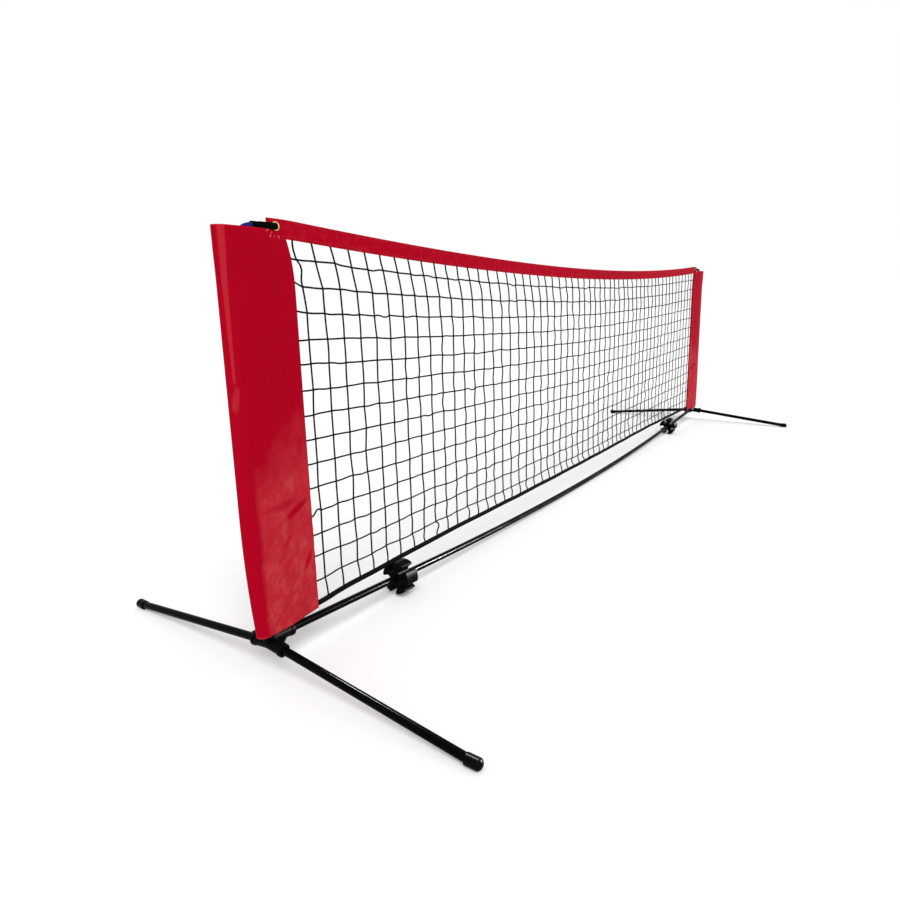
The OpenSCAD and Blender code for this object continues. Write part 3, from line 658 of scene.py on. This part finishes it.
def hemMiddle(x):
    height = hem["middle"]
    for place, width, rise in hem["waves"]:
        height += rise * bump(place, width, x)
    return height + 0.4 * math.sin(x / 37)


def netRow(row, x):  # rows are level at the posts and gather towards the middle
    middle = net["topMiddle"] - net["dropMiddle"] * (row - 1) + net["middleLift"] * smooth(11.5, 14, row)
    end = net["topEnd"] - net["dropEnd"] * (row - 1)
    share = (abs(x) / 1400) ** (2 - 0.1 * (row - 1))
    lift, place, width = net["leftLift"]
    return middle + (end - middle) * share + lift * bump(place, width, x) * smooth(11, 14, row)


def leanEase(x):  # the head band drags the top rows less on the right
    return 1 - 0.3 * smooth(-400, 0, x) - 0.5 * smooth(900, 1350, x)


def hemCreep(x):  # how far the hem has crept along under the net
    return (4.5 + 3.5 * smooth(-900, -700, x) + 16 * bump(-150, 230, x)
            + 8 * smooth(-100, 300, x) * smooth(1350, 900, x))


def cordSlack(x):  # 0 by the sleeves, 1 right of the middle
    return smooth(1330, 900, abs(x)) * (0.55 + 0.45 * smooth(-700, 300, x))


def netKnots():
    rng = random.Random(net["seed"])
    knots = {}
    strayX, strayY, strayZ = net["stray"]
    for c in range(net["columns"]):
        x0 = net["firstColumn"] + net["pitch"] * c + net["spread"] * max(0, c - net["spreadFrom"]) ** 2
        ease = leanEase(x0)
        for r in range(1, net["rows"] + 1):
            x = x0 + net["lean"].get(r, 0) * ease + 5 * bump(-120, 250, x0) * smooth(13, 14, r)
            z = netRow(r, x) + rng.gauss(0, strayZ)
            knots[c, r] = Vector((x + rng.gauss(0, strayX), rng.gauss(0, strayY), z)) * mm
        x = x0 + (4 if c == 0 else 0) + net["lean"][0] * ease + rng.gauss(0, net["topStray"])
        knots[c, 0] = Vector((x, 0, bandTop(x0) - band["height"] + 6)) * mm
        x = x0 + hemCreep(x0) + rng.gauss(0, net["hemStray"])
        knots[c, net["rows"] + 1] = Vector((x, 0, hemMiddle(x0) + 2)) * mm
    return knots


def bowed(a, b, sideways, outward, steps, wave=0.0):  # a slack cord between two knots
    path = []
    for i in range(steps + 1):
        t = i / steps
        lift = math.sin(math.pi * t)
        curl = math.sin(2 * math.pi * t) * wave
        path.append(a.lerp(b, t) + (sideways * (lift + curl) + outward * lift) * mm)
    return path


def uprightCord(rng, knots, c):
    path = []
    for r in range(net["rows"] + 1):
        a, b = knots[c, r], knots[c, r + 1]
        x = a.x / mm
        slack = cordSlack(x)
        size = slack * abs(rng.gauss(0, net["bow"]))
        if r == net["rows"]:  # the last row hangs slack on the hem
            least, more, spread = net["hemBow"]
            size = least + smooth(1380, 1000, abs(x)) * (more + abs(rng.gauss(0, spread)))
        elif r == net["rows"] - 1:
            size += slack * abs(rng.gauss(0, net["aboveHemBow"]))
        sign = 1 if rng.random() < net["bowRight"] else -1
        if c == 0 and r in (0, 1):  # the corner's cord hangs in a soft S
            sign, size = 1, -3 + 8.5 * r
        outward = Vector((0, rng.gauss(0, net["bowOut"]) * (0.4 + slack), 0))
        wave = rng.gauss(0, net["bowWave"])
        part = bowed(a, b, Vector((sign * size, 0, 0)), outward, net["substeps"], wave)
        path += part if r == 0 else part[1:]
    return path


def levelCord(rng, knots, r):  # from sleeve to sleeve
    steps, still = net["substeps"], Vector((0, 0, 0))
    first, last = knots[0, r], knots[net["columns"] - 1, r]
    slackRow = r == net["slackRow"]
    rise = net["seamRise"].get(r, 2.0) - (7 if slackRow else 0)
    start = Vector((-net["sleeveEdge"] * mm - (6 if r == 1 else 0) * mm, 0, first.z + (rise - 1) * mm))
    if slackRow:
        path = bowed(start, first, Vector((0, 0, 3.0)), still, 8, -1.5)
    else:
        path = bowed(start, first, Vector((0, 0, -0.6)), still, steps, -0.5 / 3)
    for c in range(net["columns"] - 1):
        droop = Vector((0, 0, rng.gauss(*net["droop"])))
        outward = Vector((0, rng.gauss(0, net["droopOut"]), 0))
        wave = rng.gauss(0, net["droopWave"])
        path += bowed(knots[c, r], knots[c + 1, r], droop, outward, steps, wave)[1:]
    end = Vector((net["sleeveEdge"] * mm + (5 if r == 1 else 0) * mm, 0, last.z + 2 * mm))
    return path + bowed(last, end, Vector((0, 0, -0.8)), still, steps)[1:]


def makeNet():
    rng = random.Random(net["seed"] + 1)
    knots = netKnots()
    thread = Thread()
    radius = net["cord"] / 2 * mm
    for c in range(net["columns"]):
        thread.cord(uprightCord(rng, knots, c), radius)
    for r in range(1, net["rows"] + 1):
        thread.cord(levelCord(rng, knots, r), radius)
    for (c, r), place in knots.items():
        if 1 <= r <= net["rows"]:
            size = [s * mm * rng.uniform(0.88, 1.12) for s in net["knot"]]
            thread.knot(place, size, rng.uniform(-0.6, 0.6))
    piece = thread.piece("netCords", cordMaterial, "net_assembly")
    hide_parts("net_mesh")


def makeHem():  # webbing folded over the net's lower cords
    half, high, edge, rib, steps = hem["half"], hem["height"] / 2, hem["edge"], hem["rib"], hem["steps"]
    back = [(half * 0.9, -high), (half, edge - high), (half, -rib),
            (half, rib), (half, high - edge), (half * 0.9, high)]
    front = [(-y, z) for y, z in back[::-1]]
    section = [front[-2], front[-1]] + back + front[:-2]
    count = len(section)
    places = [-hem["end"] + 2 * hem["end"] * i / steps for i in range(steps + 1)]
    verts, faces, uvs = [], [], []
    for x in places:
        sway = hem["sway"] * noise.noise(Vector((x / hem["swayRun"], 4.2, 0)))
        fat = hem["fat"] if abs(x) < hem["fatTo"] else hem["endFat"]
        for y, z in section:
            verts.append(Vector((x, y * fat + sway, hemMiddle(x) + z)) * mm)
    for i in range(steps):
        for k in range(count):
            n = (k + 1) % count
            a, b = i * count, (i + 1) * count
            faces.append((a + k, a + n, b + n, b + k))
            x0, x1 = (2 * hem["end"] * t / steps * mm for t in (i, i + 1))
            v0, v1 = section[k][1] * mm, section[n][1] * mm
            uvs += [(v0, x0), (v1, x0), (v1, x1), (v0, x1)]
    for first, order in ((0, range(count - 1, -1, -1)), (steps * count, range(count))):
        faces.append(tuple(first + k for k in order))
        uvs += [(0, 0)] * count
    piece = makePiece("hemWebbing", verts, faces, hemMaterial, "net_assembly", uvs)
    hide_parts("hem_strap")


makeNet()
makeHeadBand()
makeHem()
print("net, head band and hem made")


# sleeves

sleeve = {
    "seam": 1405.5, "top": 847, "cloth": 0.9, "across": 52, "up": 230,
    "draw": 14, "drawRun": 260, "neck": 16, "neckRun": 110,  # the fold comes in at the foot, the seam at the top
    "halfPost": 11.2, "loose": 3.0, "mouthDeep": 90, "mouthWide": 30, "slackRun": 300,  # pocket round the post
    "rise": 24, "roundTo": 46, "sewn": 14, "lip": 6, "flat": 2.15, "topFlat": 2.7,  # then flat to the seam
    "hem": 16, "hemLift": 0.35, "cornerDrop": 13, "dropFrom": 59, "dropRun": 56.5,
    "crumpleFrom": 430, "crumpleFull": 230, "slant": (0.79, 0.61),  # slanting creases low down
    "crumple": (1.5, 46, 15), "fine": (0.45, 17, 8), "drape": (0.9, 60, 210),  # depth and size both ways
    "gatherX": 128, "gatherUp": 6,  # where the hook gathers the cloth, from the fold and above the top
    "pucker": 0.8, "puckers": 11, "puckerRing": (26, 16),  # ring round that place, and its width
    "seamRows": ((4.5, 830), (9.5, 832)), "hemRow": 4,
    "stitch": {"pitch": 4.6, "length": 3.1, "radius": 0.3},
}


def sleeveEdges(z):  # outer fold and inner seam, for the left sleeve
    low = max(0, 1 - (z - sleeveLow) / sleeve["drawRun"])
    high = max(0, 1 - (sleeve["top"] - z) / sleeve["neckRun"])
    return -foldX + sleeve["draw"] * low * low, -sleeve["seam"] - sleeve["neck"] * high * high


def sleeveHalf(u, w, z):  # half the depth at u from the fold, where the sleeve is w wide
    mouth = smooth(sleeve["top"] - sleeve["mouthDeep"], sleeve["top"] - sleeve["mouthWide"], z)
    slack = smooth(sleeveLow + sleeve["slackRun"], sleeveLow, z)
    flat = (sleeve["flat"] + (sleeve["topFlat"] - sleeve["flat"]) * mouth) * min(1.0, u / sleeve["lip"])
    run = w - sleeve["sewn"]
    if u < sleeve["rise"]:
        share = math.sqrt(max(0.0, 1 - (1 - u / sleeve["rise"]) ** 2))
    elif u < sleeve["roundTo"]:
        share = 1.0
    elif u > run:
        share = 0.0
    else:
        away = (u - sleeve["roundTo"]) / (run - sleeve["roundTo"])
        share = math.cos(math.pi / 2 * away) ** (1.6 - 0.6 * max(slack, mouth))
    deep = sleeve["halfPost"] + sleeve["loose"] * max(mouth, slack)
    return flat + (deep - flat) * share


def sleeveCreases(u, z, side):
    low = smooth(sleeve["crumpleFrom"], sleeve["crumpleFull"], z)
    free = smooth(4, 26, u)
    c, s = sleeve["slant"]
    a, b = u * c + z * s, z * c - u * s
    crumpleDeep, crumpleLong, crumpleWide = sleeve["crumple"]
    fineDeep, fineLong, fineWide = sleeve["fine"]
    drapeDeep, drapeWide, drapeHigh = sleeve["drape"]
    crumple = 1.0 - 2.0 * abs(noise.noise(Vector((a / crumpleLong, b / crumpleWide, 3.0 + side)))) - 0.45
    fine = noise.noise(Vector((a / fineLong, b / fineWide, 9.0 + side)))
    drape = noise.noise(Vector((u / drapeWide, z / drapeHigh, 5.0 + side)))
    d = low * free * (crumpleDeep * crumple + fineDeep * fine) + drapeDeep * drape * free
    if side < 0:  # puckers under the eyelet
        px, pz = u - sleeve["gatherX"], sleeve["top"] + sleeve["gatherUp"] - z
        reach = math.hypot(px, pz)
        d += (sleeve["pucker"] * math.sin(math.atan2(px, pz) * sleeve["puckers"])
              * bump(*sleeve["puckerRing"], reach) * smooth(2, 10, reach))
    return d


def sleevePoint(k, t, mirror):  # k columns from the fold, negative at the front, at the share t of the height
    z = sleeveLow + (sleeve["top"] - sleeveLow) * t
    fold, seam = sleeveEdges(z)
    w = seam - fold
    s = abs(k) / sleeve["across"]
    u = w * (0.45 * s * s + 0.55 * s)  # closer columns round the fold
    side = -1 if k < 0 else 1
    half = sleeveHalf(u, w, z)
    corner = smooth(sleeve["top"] - 34, sleeve["top"] - 24, z) * smooth(w - 44, w - 36, u)
    crease = sleeveCreases(u, z, side * mirror) * (1 - corner) * smooth(0, 8, w - u + 4)
    hemmed = sleeve["hem"]
    lift = sleeve["hemLift"] * (smooth(hemmed + 1, hemmed, z - sleeveLow)
                                + smooth(hemmed + 1, hemmed, sleeve["top"] - z))
    y = side * (half + lift + max(crease, sleeve["cloth"] - half)) if k else 0.0
    x = fold + u + (crease * 0.35 if s < 0.06 else 0)
    fall = max(0, min(1, (x + postX - sleeve["dropFrom"]) / sleeve["dropRun"])) ** 2.2
    return Vector((-x * mirror, y, z - sleeve["cornerDrop"] * fall * t ** 24)) * mm


def seamPath(rows, inset, high, side):  # a line of sewing beside the seam, on one face of the sleeve
    path = []
    across = sleeve["across"]
    for row in rows:
        half = row[:across] if side < 0 else row[across + 1:][::-1]
        edge = half[0].x
        for a, b in zip(half, half[1:]):
            if abs(b.x - edge) >= inset * mm:
                share = (inset * mm - abs(a.x - edge)) / max(1e-9, abs(b.x - a.x))
                path.append(a.lerp(b, share) + Vector((0, side * 0.15 * mm, 0)))
                break
    return [p for p in path if p.z < high * mm]


def makeSleeve(mirror):
    name = "sleeveClothLeft" if mirror < 0 else "sleeveClothRight"
    across, up = sleeve["across"], sleeve["up"]
    rows = [[sleevePoint(k, j / up, mirror) for k in range(-across, across + 1)] for j in range(up + 1)]
    verts = [point for row in rows for point in row]
    faces = gridFaces(2 * across + 1, up + 1, flip=mirror > 0)
    piece = makePiece(name, verts, faces, clothMaterial, "net_assembly")
    thicken(piece, sleeve["cloth"] * mm)
    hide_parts("sleeve_left" if mirror < 0 else "sleeve_right")
    # sewing: two rows beside the seam and one round each hem, on both faces
    thread = Thread()
    for side in (-1, 1):
        for inset, high in sleeve["seamRows"]:
            thread.stitches(seamPath(rows[2:-2], inset, high, side), sleeve["stitch"])
    for j in (sleeve["hemRow"], up - sleeve["hemRow"]):
        for side in (-1, 1):
            half = rows[j][:across] if side < 0 else rows[j][across + 1:]
            thread.stitches([point + Vector((0, side * 0.18, 0)) * mm for point in half], sleeve["stitch"])
    stitching = thread.piece(name + "Stitching", threadMaterial, "net_assembly")


makeSleeve(-1)
makeSleeve(1)
print("sleeves made")


# tension straps

strap = {
    "ring": 8.55, "thick": 1.6, "height": 12, "edge": 0.5, "middle": 838.2,  # the loop round the post
    "bar": 1497.5, "barMiddle": 850.3, "barFront": 3.9, "barRadius": 1.5, "barGap": 0.3,  # the buckle's bar
    "opening": 14, "straightSteps": 14, "ringSteps": 32, "barSteps": 8,  # opening in degrees
}


def strapPath():  # seen from above and from the post's axis: round the bar, to the post, round it and back
    half = strap["thick"] / 2
    r = strap["ring"] + half
    run = postX - strap["bar"]
    loop = strap["barRadius"] + strap["barGap"] + half
    front = -strap["barFront"]
    start, stop = math.radians(strap["opening"]), math.radians(360 - strap["opening"])
    path = []
    for i in range(strap["barSteps"] + 1):
        a = math.radians(-90 + 180 * i / strap["barSteps"])
        path.append((run + loop * math.cos(a) * 0.9, front + loop * math.sin(a), 1.0))
    for i in range(1, strap["straightSteps"]):
        t = i / strap["straightSteps"]
        path.append((run + (r * math.cos(start) - run) * t,
                     (front + loop) * (1 - t) + (r * math.sin(start) * 0.55 + 0.3) * t, 1 - t))
    for i in range(strap["ringSteps"] + 1):
        a = start + (stop - start) * i / strap["ringSteps"]
        path.append((r * math.cos(a), r * math.sin(a), 0.0))
    for i in range(1, strap["straightSteps"]):
        t = i / strap["straightSteps"]
        path.append((r * math.cos(stop) + (run - r * math.cos(stop)) * t,
                     (r * math.sin(stop) * 0.9) * (1 - t) + (front - loop) * t, t))
    return path  # along, across and the share of the rise to the bar


def makeStrap(mirror):
    path = strapPath()
    count = len(path)
    half, high, edge = strap["thick"] / 2, strap["height"] / 2, strap["edge"]
    section = [(-half, -high + edge), (-half * 0.5, -high), (half * 0.5, -high), (half, -high + edge),
               (half, high - edge), (half * 0.5, high), (-half * 0.5, high), (-half, high - edge)]
    verts, faces, uvs, runs, length = [], [], [], [], 0.0
    for i in range(count):
        x, y, rise = path[i]
        ahead, behind = path[(i + 1) % count], path[i - 1]
        nx, ny = ahead[0] - behind[0], ahead[1] - behind[1]
        size = math.hypot(nx, ny) or 1
        nx, ny = ny / size, -nx / size
        z = strap["middle"] + (strap["barMiddle"] - strap["middle"]) * math.sin(math.pi / 2 * rise)
        if i:
            length += math.hypot(x - behind[0], y - behind[1])
        runs.append(length * mm)
        for off, dz in section:
            verts.append(Vector((mirror * (postX - (x + nx * off)), y + ny * off, z + dz)) * mm)
    n = len(section)
    for i in range(count):
        j = (i + 1) % count
        for k in range(n):
            m = (k + 1) % n
            quad = (i * n + k, i * n + m, j * n + m, j * n + k)
            v0, v1 = section[k][1] * mm, section[m][1] * mm
            u0, u1 = runs[i], runs[j] if j else length * mm + 0.002
            pairs = [(v0, u0), (v1, u0), (v1, u1), (v0, u1)]
            faces.append(quad if mirror < 0 else quad[::-1])
            uvs += pairs if mirror < 0 else pairs[::-1]
    name = "strapWebbingLeft" if mirror < 0 else "strapWebbingRight"
    piece = makePiece(name, verts, faces, strapMaterial, "net_assembly", uvs)
    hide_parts("tension_strap_left" if mirror < 0 else "tension_strap_right")


makeStrap(-1)
makeStrap(1)
print("straps made")


# floor, light and camera

studio = {
    "floorHalf": 40,  # in metres
    "floorColour": "#eaeaea", "floorBounce": "#c8c8c8", "floorGlow": 0.12, "skyDiffuse": 0.72,
    # power, angle and direction: a wide key, then two small suns that only glint along the tubes
    "suns": {"keyLight": (1.95, 34, (-0.55, -0.62, 1.0)), "railGlint": (17.0, 6, (0.745, -0.62, 0.23)),
             "footGlint": (9.0, 7, (0.35, 0.45, 0.8))},
}


def seenDirectly(tree):  # 1 for camera, mirror and see-through rays, 0 for the light that falls on the net
    path = addNode(tree, "ShaderNodeLightPath")
    seen = path.outputs["Is Camera Ray"]
    for ray in ("Is Glossy Ray", "Is Transmission Ray"):
        seen = addNode(tree, "ShaderNodeMath", {"operation": "MAXIMUM"}, {0: seen, 1: path.outputs[ray]})
    return seen


def paintedFloor():  # matt white paint: bounces a greyer light than it shows, and keeps the net's shadow
    material, tree, shader = newMaterial("paintedFloor")
    seen = seenDirectly(tree)
    colour = addNode(tree, "ShaderNodeMix", {"data_type": "RGBA"}, {
        "Factor": seen, "A": linearColour(studio["floorBounce"]), "B": linearColour(studio["floorColour"])})
    glow = addNode(tree, "ShaderNodeMath", {"operation": "MULTIPLY"}, {0: seen, 1: studio["floorGlow"]})
    feed(tree, shader, {
        "Base Color": colour.outputs["Result"], "Roughness": 0.9, "Specular IOR Level": 0.0,
        "Emission Color": linearColour(studio["floorColour"]), "Emission Strength": glow})
    return material


def makeFloor():
    h = studio["floorHalf"]
    mesh = bpy.data.meshes.new("floorSheet")
    mesh.from_pydata([(-h, -h, 0), (h, -h, 0), (h, h, 0), (-h, h, 0)], [], [(0, 1, 2, 3)])
    mesh.materials.append(paintedFloor())
    floor = bpy.data.objects.new("floorSheet", mesh)
    bpy.context.scene.collection.objects.link(floor)


def makeSky():
    world = bpy.data.worlds.new("studioWorld")
    bpy.context.scene.world = world
    world.use_nodes = True
    tree = world.node_tree
    tree.nodes.clear()
    strength = addNode(tree, "ShaderNodeMapRange", inputs={
        "Value": seenDirectly(tree), "To Min": studio["skyDiffuse"], "To Max": 1.0})
    sky = addNode(tree, "ShaderNodeBackground", inputs={"Color": (1, 1, 1, 1), "Strength": strength})
    addNode(tree, "ShaderNodeOutputWorld", inputs={"Surface": sky})


def makeSuns():
    glinting = bpy.data.collections.new("glinting")  # tubes, caps and mouldings, without the hooks
    glossy = {steelMaterial, nylonMaterial, rubberMaterial}
    for piece in bpy.data.objects:
        if piece.type == "MESH" and not piece.name.startswith("hook") and glossy & set(piece.data.materials):
            glinting.objects.link(piece)
    for name, (power, angle, source) in studio["suns"].items():
        sun = bpy.data.lights.new(name, "SUN")
        sun.energy = power
        sun.angle = math.radians(angle)
        lamp = bpy.data.objects.new(name, sun)
        lamp.rotation_mode = "QUATERNION"
        lamp.rotation_quaternion = Vector(source).to_track_quat("Z", "Y")
        if name != "keyLight":
            lamp.visible_diffuse = False
            lamp.light_linking.receiver_collection = glinting
        bpy.context.scene.collection.objects.link(lamp)


cameraView = {
    "place": (-2.2358, -0.9564, 0.7071), "yaw": 54.1124, "pitch": 11.6221, "roll": -1.5032,
    "focal": 625.5045, "centre": (448.2302, 431.9589), "frame": 900, "sensor": 36,
}


def makeCamera():
    view = cameraView
    yaw, pitch, roll = (math.radians(view[key]) for key in ("yaw", "pitch", "roll"))
    look = Vector((math.sin(yaw) * math.cos(pitch), math.cos(yaw) * math.cos(pitch), -math.sin(pitch)))
    level = Vector((math.cos(yaw), -math.sin(yaw), 0))
    up = level.cross(look)
    right = level * math.cos(roll) + up * math.sin(roll)
    top = up * math.cos(roll) - level * math.sin(roll)
    data = bpy.data.cameras.new("frontCamera")
    data.sensor_width = view["sensor"]
    data.lens = view["focal"] / view["frame"] * view["sensor"]
    data.shift_x = (view["frame"] / 2 - view["centre"][0]) / view["frame"]
    data.shift_y = (view["centre"][1] - view["frame"] / 2) / view["frame"]
    data.clip_end = 100
    camera = bpy.data.objects.new("frontCamera", data)
    camera.matrix_world = Matrix.Translation(view["place"]) @ Matrix((right, top, -look)).transposed().to_4x4()
    bpy.context.scene.collection.objects.link(camera)
    bpy.context.scene.camera = camera


makeFloor()
makeSky()
makeSuns()
makeCamera()
bpy.context.scene.view_settings.view_transform = "Standard"
print("studio and camera made")

bpy.context.view_layer.update()
